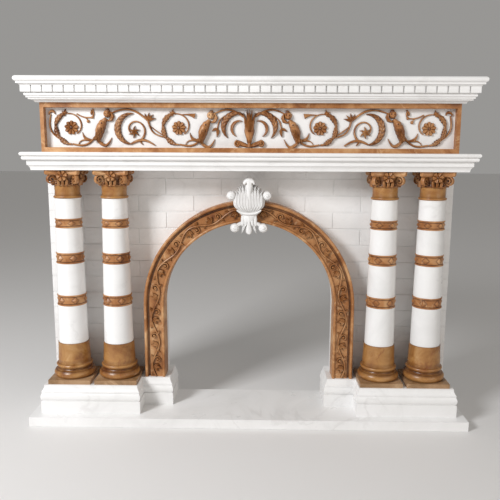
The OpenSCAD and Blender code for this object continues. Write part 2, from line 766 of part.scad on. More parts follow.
hearth_slab();
column_pedestal_left();
column_pedestal_right();
arch_pedestal_left();
arch_pedestal_right();
brick_panel();
arch_surround();
keystone();
lower_cornice();
frieze_frame();
frieze_panel();
frieze_carving_left();
frieze_carving_right();
frieze_vase();
dentil_cornice();
mantel_shelf();
for (k = [0 : len(COLUMNS) - 1], i = [0 : len(STAGES) - 1])
    column_piece(k, i);
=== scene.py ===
# %% [markdown]
# # A marble fireplace mantel
#
# The real object is a mantelpiece of white, brown and ochre marble. Pairs of banded columns stand on
# moulded pedestals, a round arch with a carved vine frames the fire opening, and a deep frieze with a
# brown scroll carving lies between two moulded cornices under the shelf.
#
# The measured frame of the mantel is loaded first. Every piece made below takes its place from the
# boxes of that frame.

# %% Load the frame
import math

import bpy
import numpy as np
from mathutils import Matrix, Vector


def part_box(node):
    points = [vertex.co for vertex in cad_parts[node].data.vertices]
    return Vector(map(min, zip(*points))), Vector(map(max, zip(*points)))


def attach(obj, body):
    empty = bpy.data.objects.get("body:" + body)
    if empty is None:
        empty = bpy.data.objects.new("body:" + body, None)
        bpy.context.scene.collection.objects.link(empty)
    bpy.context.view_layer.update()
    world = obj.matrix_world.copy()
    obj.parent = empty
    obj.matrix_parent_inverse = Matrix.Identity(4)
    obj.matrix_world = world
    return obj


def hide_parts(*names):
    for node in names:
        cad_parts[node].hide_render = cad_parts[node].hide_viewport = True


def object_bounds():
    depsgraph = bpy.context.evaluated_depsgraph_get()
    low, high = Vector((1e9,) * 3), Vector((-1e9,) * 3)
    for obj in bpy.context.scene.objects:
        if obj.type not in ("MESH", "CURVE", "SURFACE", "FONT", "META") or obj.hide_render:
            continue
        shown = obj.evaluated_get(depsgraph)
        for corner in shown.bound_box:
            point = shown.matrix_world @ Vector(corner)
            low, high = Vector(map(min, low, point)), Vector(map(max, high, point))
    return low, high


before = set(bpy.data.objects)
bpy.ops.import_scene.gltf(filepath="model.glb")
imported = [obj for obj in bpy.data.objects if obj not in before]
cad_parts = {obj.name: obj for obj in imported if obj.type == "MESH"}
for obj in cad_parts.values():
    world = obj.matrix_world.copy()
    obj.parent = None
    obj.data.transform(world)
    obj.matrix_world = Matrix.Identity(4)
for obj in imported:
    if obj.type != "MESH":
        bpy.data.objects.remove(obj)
cad_low, cad_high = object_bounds()
print("frame:", len(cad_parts), "stones,", [round(v, 3) for v in cad_high - cad_low], "m")


# %% [markdown]
# ## The finishes
#
# Marble is a dense stone full of mineral clouds and veins. An image of stone wrapped round the
# pieces would show seams, so each finish is worked out in space instead: clouds and veins are noise
# read at the point's own place in the stone, and they run through a block as they do in the quarry.
#
# Four stones are used: white for the structure, a rust brown for what is carved, ochre for the turned
# bases and neckings, and a pinkish tan for the plinths.

# %% A helper that wires up nodes
def node(tree, kind, links=(), **values):
    """Adds one shader node. links are (input, socket) pairs; values set the node's own settings."""
    made = tree.nodes.new(kind)
    for name, value in values.items():
        if name.startswith("in_"):
            key = name[3:]
            made.inputs[int(key) if key.isdigit() else key].default_value = value
        else:
            setattr(made, name, value)
    for name, socket in links:
        tree.links.new(socket, made.inputs[name])
    return made


def ramp(tree, factor, stops):
    """A colour ramp through (position, colour) stops."""
    made = node(tree, "ShaderNodeValToRGB", [("Fac", factor)])
    band = made.color_ramp
    while len(band.elements) < len(stops):
        band.elements.new(0.5)
    for element, (position, colour) in zip(band.elements, stops):
        element.position = position
        element.color = (*colour, 1.0)
    return made.outputs["Color"]


def noise(tree, place, scale, detail=4.0, distortion=0.0, roughness=0.5):
    """Fractal noise of so many swells a metre."""
    made = node(tree, "ShaderNodeTexNoise", [("Vector", place)])
    for name, value in (("Scale", scale), ("Detail", detail), ("Distortion", distortion),
                        ("Roughness", roughness)):
        made.inputs[name].default_value = value
    return made.outputs["Fac"]


def blend(tree, factor, a, b, how="MIX"):
    """Mixes colour b over colour a."""
    made = node(tree, "ShaderNodeMix", data_type="RGBA", blend_type=how)
    for socket, value in ((made.inputs[0], factor), (made.inputs[6], a), (made.inputs[7], b)):
        if isinstance(value, bpy.types.NodeSocket):
            tree.links.new(value, socket)
        else:
            socket.default_value = value if isinstance(value, float) else (*value, 1.0)
    return made.outputs[2]


# %% One recipe for all four stones
def marble(name, clouds, cloud_size, vein, vein_scale, vein_width, painted_shade_colour, gloss, grain):
    """Clouds of colour, crossed by thin veins, darkened with painted shade where the carving is hollow.

    A vein is the line along which a noise passes through one half: the nearer the noise is to
    one half, the more of the vein's colour shows. A second noise lets the veins come and go. A dark
    colour of painted shade is multiplied in by the point's hollow value, made patchy by a third noise."""
    material = bpy.data.materials.new(name)
    material.use_nodes = True
    tree = material.node_tree
    shader = tree.nodes["Principled BSDF"]
    place = node(tree, "ShaderNodeTexCoord").outputs["Object"]
    colour = ramp(tree, noise(tree, place, cloud_size, 7.0, 0.9, 0.62), clouds)
    off_half = node(tree, "ShaderNodeMath",
                    [(0, noise(tree, place, vein_scale, 5.0, 1.6))], operation="SUBTRACT", in_1=0.5)
    line = node(tree, "ShaderNodeMath", [(0, off_half.outputs[0])], operation="ABSOLUTE").outputs[0]
    thin = node(tree, "ShaderNodeMapRange", [("Value", line)],
                in_1=0.0, in_2=vein_width, in_3=1.0, in_4=0.0)
    some = node(tree, "ShaderNodeMapRange", [("Value", noise(tree, place, vein_scale * 1.7, 2.0))],
                in_1=0.45, in_2=0.62, in_3=0.0, in_4=vein[3])
    shown = node(tree, "ShaderNodeMath", [(0, thin.outputs[0]), (1, some.outputs[0])],
                 operation="MULTIPLY")
    colour = blend(tree, shown.outputs[0], colour, vein[:3])
    # Painted shade: where the hollow value is high, the colour is multiplied by a dark shade colour.
    if painted_shade_colour:
        hollow = node(tree, "ShaderNodeAttribute", attribute_name="hollow").outputs["Fac"]
        patchy = node(tree, "ShaderNodeMapRange", [("Value", noise(tree, place, 30.0, 3.0))],
                      in_1=0.3, in_2=0.7, in_3=0.8, in_4=1.1)
        depth = node(tree, "ShaderNodeMath", [(0, hollow), (1, patchy.outputs[0])],
                     operation="MULTIPLY", use_clamp=True)
        colour = blend(tree, depth.outputs[0], colour, painted_shade_colour, "MULTIPLY")
    tree.links.new(colour, shader.inputs["Base Color"])
    rough = node(tree, "ShaderNodeMapRange", [("Value", noise(tree, place, 14.0, 5.0))],
                 in_1=0.3, in_2=0.7, in_3=gloss, in_4=gloss + 0.14)
    tree.links.new(rough.outputs[0], shader.inputs["Roughness"])
    bump = node(tree, "ShaderNodeBump", [("Height", noise(tree, place, grain[0], 4.0))],
                in_Strength=grain[1], in_Distance=0.0006)
    tree.links.new(bump.outputs["Normal"], shader.inputs["Normal"])
    shader.inputs["Specular IOR Level"].default_value = 0.45
    print("finish:", name, "with", len(tree.nodes), "nodes")
    return material


# %% White marble, nearly plain, with a few faint grey veins and a grey painted shade for hollows
WHITE = marble("white_marble", [(0.30, (0.78, 0.775, 0.765)), (0.48, (0.86, 0.855, 0.845)),
                                (0.66, (0.90, 0.895, 0.89))],
               cloud_size=3.2, vein=(0.60, 0.585, 0.57, 0.30), vein_scale=1.9, vein_width=0.022,
               painted_shade_colour=(0.36, 0.33, 0.30), gloss=0.26, grain=(260.0, 0.10))

# %% Brown marble, rust to dark brown, with cream flecks and a near-black painted shade for hollows
BROWN = marble("brown_marble", [(0.28, (0.170, 0.052, 0.014)), (0.42, (0.330, 0.130, 0.038)),
                                (0.56, (0.465, 0.222, 0.085)), (0.72, (0.650, 0.395, 0.195))],
               cloud_size=9.0, vein=(0.72, 0.48, 0.27, 0.5), vein_scale=13.0, vein_width=0.03,
               painted_shade_colour=(0.13, 0.050, 0.030), gloss=0.34, grain=(420.0, 0.35))

# %% Ochre marble, yellower and polished, with a brown painted shade for hollows
OCHRE = marble("ochre_marble", [(0.28, (0.170, 0.052, 0.018)), (0.42, (0.320, 0.140, 0.040)),
                                (0.58, (0.440, 0.222, 0.072)), (0.74, (0.570, 0.340, 0.145))],
               cloud_size=11.0, vein=(0.25, 0.07, 0.03, 0.6), vein_scale=9.0, vein_width=0.025,
               painted_shade_colour=(0.25, 0.16, 0.10), gloss=0.24, grain=(420.0, 0.18))

# %% Tan marble, pinkish, with a brown painted shade for hollows
TAN = marble("tan_marble", [(0.30, (0.230, 0.130, 0.055)), (0.50, (0.380, 0.225, 0.115)),
                            (0.70, (0.510, 0.340, 0.195))],
             cloud_size=8.0, vein=(0.62, 0.42, 0.26, 0.5), vein_scale=8.0, vein_width=0.03,
             painted_shade_colour=(0.3, 0.2, 0.14), gloss=0.3, grain=(420.0, 0.2))

FINISH = {"white_marble": WHITE, "brown_marble": BROWN, "ochre_marble": OCHRE, "tan_marble": TAN}


# %% [markdown]
# ## Dressing the stones that keep their shape
#
# Every stone of the frame gets its finish now. The ones whose true surface is finer than the frame's,
# such as the carvings, are made again further down and take the frame stone's place.

# %% Which stone is cut from which marble
def finish_of(name):
    """The finish of a stone, from the first words of its name."""
    brown = ("arch_surround", "frieze_frame", "frieze_carving", "frieze_vase", "ring_", "capital_")
    if name.startswith(brown):
        return "brown_marble"
    if name.startswith(("base_", "necking_")):
        return "ochre_marble"
    if name.startswith("plinth_"):
        return "tan_marble"
    return "white_marble"


for name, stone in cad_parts.items():
    stone.data.materials.clear()
    stone.data.materials.append(FINISH[finish_of(name)])
print("dressed", len(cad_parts), "stones")

# %% [markdown]
# ## Tools for carved and turned stone
#
# A carved stem, leaf or petal is a ridge that follows a line, wide in places and thin in others. It
# could be sculpted by hand, but a line with a width and a height says the same thing in a few numbers.
# So each one is a loft: a closed loop of points is carried along the line, and neighbouring loops are
# skinned.
#
# Turned stones are lofts too, of circles stacked up the column. A value called hollow travels with
# every point. It is high in the low places of a carving, and the finish is darkened there with
# painted shade.

# %% Closed skins over loops of points
MM = 0.001


def signed_volume(places, quads):
    """The signed volume under quads: a sixth of the sum of the triple products of their two triangles."""
    a, b, c, d = (places[quads[:, i]] for i in range(4))
    first = np.einsum("ij,ij->i", a, np.cross(b, c))
    second = np.einsum("ij,ij->i", a, np.cross(c, d))
    return (first + second).sum() / 6


def loft(rows, hollow=None):
    """A closed skin over loops of points: quads join each loop to the next, and a fan of triangles from
    its middle closes the first loop and the last. Turned so that its faces point outwards."""
    rings, around = rows.shape[:2]
    here = np.arange(rings * around).reshape(rings, around)
    beside = np.roll(here, -1, axis=1)
    middles = np.stack([rows[0].mean(axis=0), rows[-1].mean(axis=0)])
    places = np.concatenate([rows.reshape(-1, 3), middles])
    quads = np.stack([here[:-1], beside[:-1], beside[1:], here[1:]], axis=-1).reshape(-1, 4)
    first = np.stack([beside[0], here[0], np.full(around, rings * around)], axis=1)
    last = np.stack([here[-1], beside[-1], np.full(around, rings * around + 1)], axis=1)
    ends = np.concatenate([first, last])
    if signed_volume(places - places.mean(axis=0), quads) < 0:
        quads, ends = quads[:, ::-1], ends[:, ::-1]
    if hollow is None:
        hollow = np.zeros((rings, around))
    shade = np.concatenate([hollow.ravel(), [hollow[0].mean(), hollow[-1].mean()]])
    return places, quads, ends, shade


def moved(part, scale=(1, 1, 1), turn=0.0, to=(0, 0, 0)):
    """A copy of a part, scaled, turned about the vertical by an angle in radians and then moved. A
    mirror turns a skin inside out, so its faces are turned back."""
    places, quads, ends, shade = part
    x, y, z = (places * np.array(scale)).T
    cos, sin = math.cos(turn), math.sin(turn)
    places = np.stack([x * cos - y * sin, x * sin + y * cos, z], axis=1) + np.array(to)
    if np.prod(scale) < 0:
        quads, ends = quads[:, ::-1], ends[:, ::-1]
    return places, quads, ends, shade


def piece(name, parts, finish, *stands_for, crease=42):
    """Joins parts into one mesh, gives it its finish and the hollow values that paint shade on it, and
    puts it in the place of the frame's stones of the names in stands_for."""
    starts = np.cumsum([0] + [len(part[0]) for part in parts])
    places = np.concatenate([part[0] for part in parts])
    faces = [face for part, start in zip(parts, starts) for group in part[1:3]
             for face in (group + start).tolist()]
    mesh = bpy.data.meshes.new(name)
    mesh.from_pydata(places.tolist(), [], faces)
    mesh.attributes.new("hollow", "FLOAT", "POINT").data.foreach_set(
        "value", np.concatenate([part[3] for part in parts]).astype(np.float32))
    mesh.shade_smooth()
    mesh.set_sharp_from_angle(angle=math.radians(crease))
    made = bpy.data.objects.new(name, mesh)
    bpy.context.scene.collection.objects.link(made)
    made.data.materials.append(FINISH[finish])
    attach(made, "root")
    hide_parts(*stands_for)
    print(name, "has", len(parts), "parts and", len(faces), "faces")
    return made


# %% Lines with a width
def smooth(points, steps=8):
    """A smooth line through points (across, up, width), by Catmull and Rom's rule: each stretch is a
    cubic whose slope at a point is half of the way between that point's two neighbours."""
    points = np.array(points, float)
    padded = np.concatenate([points[:1], points, points[-1:]])
    t = np.linspace(0, 1, steps, endpoint=False)[None, :, None]
    a, b, c, d = (padded[i:len(points) - 1 + i, None, :] for i in range(4))
    line = 0.5 * (2 * b + (c - a) * t + (2 * a - 5 * b + 4 * c - d) * t ** 2
                  + (3 * b - a - 3 * c + d) * t ** 3)
    return np.concatenate([line.reshape(-1, points.shape[1]), points[-1:]])


def arc(centre, radius, turn, widths, steps=36):
    """An arc or spiral: the radius and the angle in degrees run evenly from their first value to their
    last, and the width passes through widths."""
    t = np.linspace(0, 1, steps)
    r = np.interp(t, (0, 1), radius)
    a = np.radians(np.interp(t, (0, 1), turn))
    w = np.interp(t, np.linspace(0, 1, len(widths)), widths)
    return np.stack([centre[0] + r * np.cos(a), centre[1] + r * np.sin(a), w], axis=1)


VEIN_SLANT = 0.9                        # how far a vein lags behind at the edge, as a share of its spacing
GROOVE_WIDTH = 0.24                     # width of the groove, as a share of the ridge's half width


def ridge(line, height, lift=0.0, groove=0.0, veins=0.0, vein=0.0, lobes=0, lobe=0.0, back=2.0,
          around=16, root=1.7):
    """A carved ridge along a line (across, up, width), rising by height out of the wall.

    The section is half an ellipse in front and a shallow one behind. groove sinks its middle, veins
    slanting waves cross it, and lobes scallop its edges. lift stands the whole ridge forward. The
    hollow value, which paints shade, falls from the root of the ridge to its top, faster when root is
    larger, and it is raised in the groove and in the troughs between the veins."""
    line = np.asarray(line, float)
    run = np.gradient(line[:, :2], axis=0)
    run /= np.maximum(np.linalg.norm(run, axis=1, keepdims=True), 1e-9)
    side = np.stack([-run[:, 1], run[:, 0]], axis=1)[:, None, :]
    along = np.linspace(0, 1, len(line))[:, None]
    a = np.linspace(0, 2 * np.pi, around, endpoint=False)[None, :]
    across, out = np.cos(a), np.sin(a)
    half = line[:, 2:3] / 2 * (1 - lobe * np.abs(np.sin(np.pi * lobes * along)) ** 3)
    wave = np.zeros_like(out + along)
    if veins:
        wave = np.cos(2 * np.pi * (veins * along + VEIN_SLANT * np.abs(across)))
    dip = groove * np.exp(-(across / GROOVE_WIDTH) ** 2)
    full = np.minimum(1.0, line[:, 2:3] / max(line[:, 2].max() * 0.5, 1e-6)) ** 0.6
    front = height * full * out * (1 - dip + vein * wave)
    stand = np.broadcast_to(np.asarray(lift, float).reshape(-1, 1), (len(line), 1))
    depth = np.where(out > 0, front, back * out) + stand
    flat = line[:, None, :2] + side * (across * half)[..., None]
    rows = np.stack([flat[..., 0], -depth, flat[..., 1]], axis=-1)
    # Painted shade: darkest at the foot of the ridge, and in its groove and vein troughs.
    foot_shade = 1.2 * (1 - np.clip(out, 0, 1)) ** root
    cut_shade = 0.8 * dip + 0.7 * (wave < -0.3) * (vein > 0)
    hollow = np.clip(foot_shade + cut_shade, 0, 1)
    return loft(rows, np.broadcast_to(hollow, rows.shape[:2]).copy())


def dome(centre, radius, height, lift=0.0, rings=9, around=20, shade=0.0):
    """A rounded boss: circles that shrink by the cosine as they rise by the sine."""
    rise = np.linspace(-0.5, 0.499 * np.pi, rings)[:, None]
    a = np.linspace(0, 2 * np.pi, around, endpoint=False)[None, :]
    x = centre[0] + radius * np.cos(rise) * np.cos(a)
    z = centre[1] + radius * np.cos(rise) * np.sin(a)
    y = np.broadcast_to(-(height * np.sin(rise) + lift), x.shape)
    # Painted shade: darkest at the foot of the boss, and darker all over it by shade.
    hollow = np.broadcast_to(np.clip(0.6 * (1 - np.sin(rise)) ** 2 + shade, 0, 1), x.shape)
    return loft(np.stack([x, y, z], axis=-1), hollow.copy())


def leaf(foot, tip, width, height, lean=0.0, lift=0.0, root=1.7):
    """A pointed leaf with a midrib: a ridge through five places, bent sideways by lean times its length."""
    foot, tip = np.array(foot, float), np.array(tip, float)
    aside = np.array([-(tip - foot)[1], (tip - foot)[0]]) * lean
    middle = (foot + tip) / 2 + aside
    low = (foot + middle) / 2 + aside / 4
    high = (middle + tip) / 2 + aside / 5
    line = smooth([(*foot, width * 0.4), (*low, width), (*middle, width * 0.95), (*high, width * 0.55),
                   (*tip, 0.8)], 5)
    return ridge(line, height, lift, groove=0.35, lobes=4, lobe=0.14, root=root)


def fan(centre, reach, angles, width, height, lean):
    """Leaves from one centre, each as long as reach, at angles in degrees."""
    tips = [(centre[0] + reach * math.cos(a), centre[1] + reach * math.sin(a)) for a in np.radians(angles)]
    return [leaf(centre, tip, width, height, lean) for tip in tips]


PETAL = ((0.2, 0.3), (0.55, 0.75), (0.84, 1.0), (1.0, 0.35))    # (share of the radius, of the width)


def flower(centre, radius, petals, height=9.0, lift=0.0):
    """Petals round an eye painted dark with shade: each is a short grooved ridge that widens towards
    its round end.
    """
    wide = 2 * np.pi * radius / petals * 0.80
    parts = []
    for a in np.radians(np.arange(petals) * 360 / petals + 9):
        line = [(centre[0] + radius * out * math.cos(a), centre[1] + radius * out * math.sin(a), wide * share)
                for out, share in PETAL]
        parts.append(ridge(smooth(line, 4), height * 1.15, lift, groove=0.22))
    return parts + [dome(centre, radius * 0.36, height * 0.95, lift, shade=1.0),
                    dome(centre, radius * 0.13, height * 1.25, lift, shade=0.1)]


# %% [markdown]
# ## The scroll carving of the frieze
#
# Two scrolls of foliage with a flower in the eye of each, two crouching beasts whose tails curl up,
# and half-moon leaves, all cut from brown marble and let into the white panel. The left half is drawn
# once in millimetres from the middle of the frieze and from the foot of its window, and the right half
# mirrors it. Its height is stretched to the window's. Scrolls and half-moons are arcs and spirals, and
# a stem is a bowed line between two places, most of them given as shares of a scroll's radius.

# %% Motifs of the frieze
LAYOUT_HALF = 826                       # half the width of the window that the drawing is made for
LAYOUT_TALL = 157                       # that window's height
SCROLL = 0.42 * LAYOUT_TALL             # radius of a flower scroll, which places what is beside it
BAY = 0.53 * LAYOUT_HALF                # from the first flower scroll to the second
FIRST = (-LAYOUT_HALF + 0.65 * LAYOUT_TALL, LAYOUT_TALL / 2)
SECOND = (FIRST[0] + BAY, FIRST[1])


def beyond(place, right, up):
    """The place that lies so many scroll radii to the right of another one, and so many above it."""
    return place[0] + right * SCROLL, place[1] + up * SCROLL


def swell(thin, thick, lean=1.0):
    """Widths that swell and shrink again: thin, plus the rest times the sine of half a turn. The widest
    place lies past the middle when lean is over 1."""
    return thin + (thick - thin) * np.sin(np.pi * np.linspace(0, 1, 9) ** lean)


def flare(thin, thick):
    """Widths that open like a trumpet, by the square of the way along."""
    return thin + (thick - thin) * np.linspace(0, 1, 6) ** 2


def bow(start, end, rise, widths, steps=28):
    """A bent line between two places: half a sine wave stands on the straight line, as high as rise
    times the line's length, to the left of the way."""
    t = np.linspace(0, 1, steps)[:, None]
    run = np.subtract(end, start)
    left = np.array((-run[1], run[0]))
    line = np.asarray(start) + t * run + rise * np.sin(np.pi * t) * left
    return np.column_stack((line, np.interp(t[:, 0], np.linspace(0, 1, len(widths)), widths)))


def foliage_scroll(c):
    """A leafy arc round the left, a spiral round the right into the flower, and bowed leaves at the foot."""
    x, z = c
    parts = [ridge(arc(c, (66, 64), (268, 105), swell(8, 12)), 9)]
    for turn in ((262, 212), (224, 168), (178, 112)):
        parts.append(ridge(arc(c, (66, 62), turn, swell(4, 24)), 13, groove=0.3, veins=5, vein=0.14,
                           lobes=5, lobe=0.2))
    parts += [ridge(arc(c, (60, 31), (118, -48), swell(4, 7), 48), 8),
              ridge(bow((x + 2, z - 65), (x + 100, z - 30), -0.20, swell(7, 9)), 9),
              ridge(bow((x + 44, z - 18), (x + 86, z - 48), -0.25, swell(2, 14, 1.3)), 11, groove=0.3),
              ridge(bow((x + 24, z - 70), (x + 58, z - 49), 0.20, (2, 5, 8)), 7),
              leaf((x - 26, z + 46), (x - 20, z + 74), 12, 10, 0.1),
              leaf((x - 28, z + 50), (x - 38, z + 66), 9, 9, -0.1)]
    return parts + flower(c, 28, 9)


def beast(head):
    """A crouching beast: a bowed body with rows of feathers, a bowed tail, and a domed head with a crest,
    eyes and a hooked snout. Everything is placed from the middle of the head."""
    x, z = head
    body = [ridge(bow((x - 4, z - 18), (x - 38, z - 108), -0.10, swell(14, 40)), 21, lobes=5, lobe=0.06),
            ridge(bow((x - 24, z - 56), (x - 40, z - 110), -0.04, swell(8, 27)), 23, groove=0.16,
                  veins=6, vein=0.12, lobes=6, lobe=0.2)]
    tail = [ridge(bow((x - 44, z - 104), (x + 16, z - 94), -0.43, (12, 15, 12, 8, 2)), 12, groove=0.2)]
    # The shoulder's small dot, the two eyes and the boss on the crest are painted dark with shade.
    shoulder = [dome((x - 20, z - 38), 15, 19, 7), dome((x - 19, z - 38), 3.6, 4, 24, shade=1.0)]
    snout = [ridge(arc((x + 2, z - 9), (20, 18), (50, -95), swell(6, 17)), 15, groove=0.2, lobes=3, lobe=0.2)]
    skull = [dome(head, 16, 19), dome((x - 5, z + 1), 3, 4, 17, shade=0.95),
             dome((x + 7, z + 2), 3, 4, 16, shade=0.95), dome((x, z - 8), 6, 7, 14)]
    crest = [leaf((x + 2, z + 8), (x + 8, z + 20), 9, 15, 0.1), dome((x + 3, z + 11), 9, 8, 8, shade=0.75)]
    feathers = []
    for row in range(5):
        for place in ((-1, 0, 1) if row % 2 == 0 else (-0.5, 0.5)):
            foot = (x - 24 - 4.4 * row + 8.5 * place, z - 55 - 9 * row)
            tip = (foot[0] - 7 + place, foot[1] - 17)
            feathers.append(leaf(foot, tip, 12, 9, 0.06, 18.5 - abs(place) * 5, root=0.7))
    return body + tail + snout + shoulder + skull + crest + feathers


# %% The left half, from the stile to the vase
def stile_tendril():
    """A tendril that climbs beside the stile as a bow and ends in a hook, half a ring."""
    top = beyond(FIRST, -1.24, 0.80)
    return [ridge(bow(top, beyond(FIRST, -0.60, -0.80), -0.22, swell(5, 8)), 8),
            ridge(arc(beyond(top, 0.10, 0), (14, 10), (190, 0), swell(3, 11)), 10, groove=0.2)]


def berry_stem():
    """Thin bowed stems that leave the first scroll, with two domed berries and an upturned end."""
    corner = beyond(FIRST, 1.32, 0.62)
    twig = beyond(FIRST, 1.05, 0.38)
    return [ridge(bow(beyond(FIRST, 0.36, 0.82), corner, -0.10, (6, 6)), 8),
            ridge(bow(corner, beyond(FIRST, 1.34, 1.12), -0.15, (6, 7, 2)), 8),
            ridge(bow(beyond(FIRST, 0.86, 0.60), twig, 0.10, (4, 5)), 7),
            dome(twig, 7, 11), dome(corner, 6, 10),
            leaf(beyond(corner, -0.06, 0.16), beyond(corner, 0.14, 0.50), 10, 10, 0.15)]


def half_moon(bell):
    """Bowed stems from the bell flower down to the second scroll, and the half-moon: a wide arc of leaf
    round a thin spiral, with a leafy eye and a bud on a bowed stem at its foot."""
    moon = beyond(SECOND, -2.88, -0.07)
    eye = beyond(moon, 0.12, -0.18)
    wide_arc = arc(moon, (0.92 * SCROLL, 0.90 * SCROLL), (84, 268), swell(4, 30), 60)
    spiral = arc(beyond(moon, 0.15, -0.05), (0.70 * SCROLL, 0.24 * SCROLL), (-52, 262), (10, 7, 7, 3), 60)
    bud_stem = bow(beyond(moon, -0.12, -0.90), beyond(moon, 1.38, -0.97), 0.18, swell(6, 12, 0.7))
    parts = [ridge(bow(bell, beyond(SECOND, -0.92, -0.55), -0.20, (10, 7, 7, 6)), 10),
             ridge(bow(beyond(bell, 0.12, -0.30), beyond(SECOND, -1.0, -0.43), -0.03, (3, 6, 5)), 8),
             ridge(wide_arc, 16, groove=0.16, veins=11, vein=0.12, lobes=13, lobe=0.1),
             ridge(spiral, 9),
             ridge(bud_stem, 10, groove=0.2),
             leaf(beyond(moon, 0.45, -0.72), beyond(moon, 0.66, -0.97), 8, 9)]
    return (parts + fan(bell, 33, np.linspace(115, 18, 4), 11, 11, 0.05)
            + fan(eye, 25, 20 + 60 * np.arange(6), 10, 12, 0.1))


def crescents(head):
    """Two crescent leaves beside the vase, arcs one inside the other, and a bowed stem with a bud."""
    centre = (-0.31 * LAYOUT_TALL, 0.51 * LAYOUT_TALL)
    bud = beyond(head, 0.41, -0.79)
    outer = arc(centre, (0.88 * SCROLL, 0.85 * SCROLL), (62, 226), swell(3, 28), 48)
    inner = arc(beyond(centre, 0.15, -0.08), (0.50 * SCROLL, 0.48 * SCROLL), (74, 244), swell(3, 15))
    return [ridge(outer, 15, groove=0.16, veins=9, vein=0.12, lobes=10, lobe=0.1),
            ridge(inner, 12, groove=0.2, lobes=6, lobe=0.1),
            ridge(bow(beyond(head, 0.88, 0), bud, -0.14, (3, 6, 6)), 7),
            leaf(bud, beyond(bud, -0.36, -0.18), 12, 11, -0.1),
            leaf(bud, beyond(bud, -0.06, -0.52), 14, 12, 0.08)]


def carving_half():
    """Two bays, each with a flower scroll and a beast, and the bowed stems that tie them together."""
    first_head = beyond(FIRST, 2.24, 0.84)
    second_head = beyond(SECOND, 1.97, 0.76)
    bell = beyond(SECOND, -1.88, 0.42)
    vase_lip = (-0.155 * LAYOUT_TALL, 0.79 * LAYOUT_TALL)
    trumpet_line = bow(beyond(SECOND, 0.20, 0.80), beyond(SECOND, 1.0, 0.72), 0.05, flare(4, 22))
    trumpet = [ridge(trumpet_line, 12, groove=0.3)]
    over = [ridge(bow(beyond(first_head, 0.15, 0), bell, 0.19, (6, 8, 9, 10)), 10),
            ridge(bow(beyond(second_head, 0.17, 0.08), vase_lip, 0.18, (6, 8, 9)), 10)]
    return (stile_tendril() + foliage_scroll(FIRST) + berry_stem() + beast(first_head) + half_moon(bell)
            + foliage_scroll(SECOND) + trumpet + beast(second_head) + crescents(second_head) + over)


LET_IN = 0.0005                         # the carving goes this far into the panel, in metres
frame_low, frame_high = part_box("frieze_frame")
carve_low, carve_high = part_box("frieze_carving_left")
rail = carve_low.z - frame_low.z
drawing_scale = (MM, MM, (frame_high.z - frame_low.z - 2 * rail) / LAYOUT_TALL)
mirror_scale = (-MM, *drawing_scale[1:])
frieze_ground = (0.0, carve_high.y + LET_IN, carve_low.z)
left_half = carving_half()
piece("scroll_carving_left", [moved(p, drawing_scale, to=frieze_ground) for p in left_half],
      "brown_marble", "frieze_carving_left")
piece("scroll_carving_right", [moved(p, mirror_scale, to=frieze_ground) for p in left_half],
      "brown_marble", "frieze_carving_right")


# %% The vase of leaves at the middle
def vase():
    """A swelling body with ribs on a small foot, five leaves over it whose tips drop by the square of
    their distance from the middle, and a scroll on each side of the foot."""
    foot, shoulder = 0.02 * LAYOUT_TALL, 0.10 * LAYOUT_TALL
    neck, lip = 0.13 * LAYOUT_TALL, 0.64 * LAYOUT_TALL
    leaf_root, leaf_top = 62, 153
    parts = [ridge(bow((0, foot), (0, neck), 0, (22, 15)), 16),
             ridge(bow((0, shoulder), (0, lip), 0, swell(14, 42, 1.5)), 20, groove=0.1, around=28)]
    parts += [ridge(bow((x * 0.5, neck), (x, lip), 0, swell(2, 7)), 6, 14 - abs(x) * 0.25)
              for x in (-16, -8, 0, 8, 16)]
    for x in (-26, -13, 0, 13, 26):
        parts.append(leaf((x * 0.45, leaf_root), (x, leaf_top - 0.02 * x ** 2), 14, 17, 0.05 * np.sign(x),
                          8 - abs(x) * 0.2))
    for s in (-1, 1):
        curl = (s * 47, 17)
        parts += [ridge(bow((s * 4, 8), (s * 48, 28), -0.06 * s, swell(11, 19)), 13, groove=0.2),
                  ridge(arc(curl, (13, 4), (100, 100 - s * 430), (8, 8, 7, 5), 40), 14),
                  dome(curl, 7, 13)]
    return parts


piece("leaf_vase", [moved(p, drawing_scale, to=frieze_ground) for p in vase()], "brown_marble",
      "frieze_vase")

# %% [markdown]
# ## The keystone
#
# A palmette of white marble hides the joint at the crown of the arch: a fan of long grooved leaflets
# over a rounded cup, a tied and fluted stem below, and small rolled scrolls at the sides. Each leaflet
# is a ridge like the frieze's, but its foot stands forward on a core, so that the fan swells.

# %% The keystone's fan
KEY_WIDE, KEY_TALL = 188.8, 241.2       # the size that the keystone is drawn at, stretched to its box
LEAFLET_ROOT = 124                      # height at which the leaflets leave the cup
LEAFLET_TOP = 222                       # height of the middle one's tip


def palmette():
    """Leaflets fan out from the cup. The k-th leans out by an even step, and its tip drops by the
    square of k, so that the tips lie on a rounded outline. Shorter ones stand behind, between each two."""
    parts = []
    for k in (4.5, -4.5, 3.5, -3.5, 2.5, -2.5, 1.5, -1.5, 4, -4, 3, -3, 2, -2, 1, -1, 0):
        behind = k % 1 > 0
        n = abs(k)
        top = LEAFLET_TOP - 2.3 * n * n - (2 if behind else 0)
        rise = top - LEAFLET_ROOT
        line = smooth([(2.8 * k, 94, 9), (8.0 * k, 105, 16), (12.0 * k, LEAFLET_ROOT, 20),
                       (12.6 * k, LEAFLET_ROOT + 0.45 * rise, 17),
                       (12.4 * k, LEAFLET_ROOT + 0.75 * rise, 10), (14.4 * k, top, 1)])
        share = np.linspace(0, 1, len(line))
        bulge = 13 * np.sin(np.pi * np.minimum(1, share * 1.35)) + 5 * share
        stand = (6 if behind else 14) - n * 0.8
        parts.append(ridge(line, 16, stand + bulge, groove=0.34, back=16, around=20, root=1.25))
    return parts


# %% Its core, top, cup and stem
KEY_BACK = 86.0                         # how far the cores run back from the arch's front


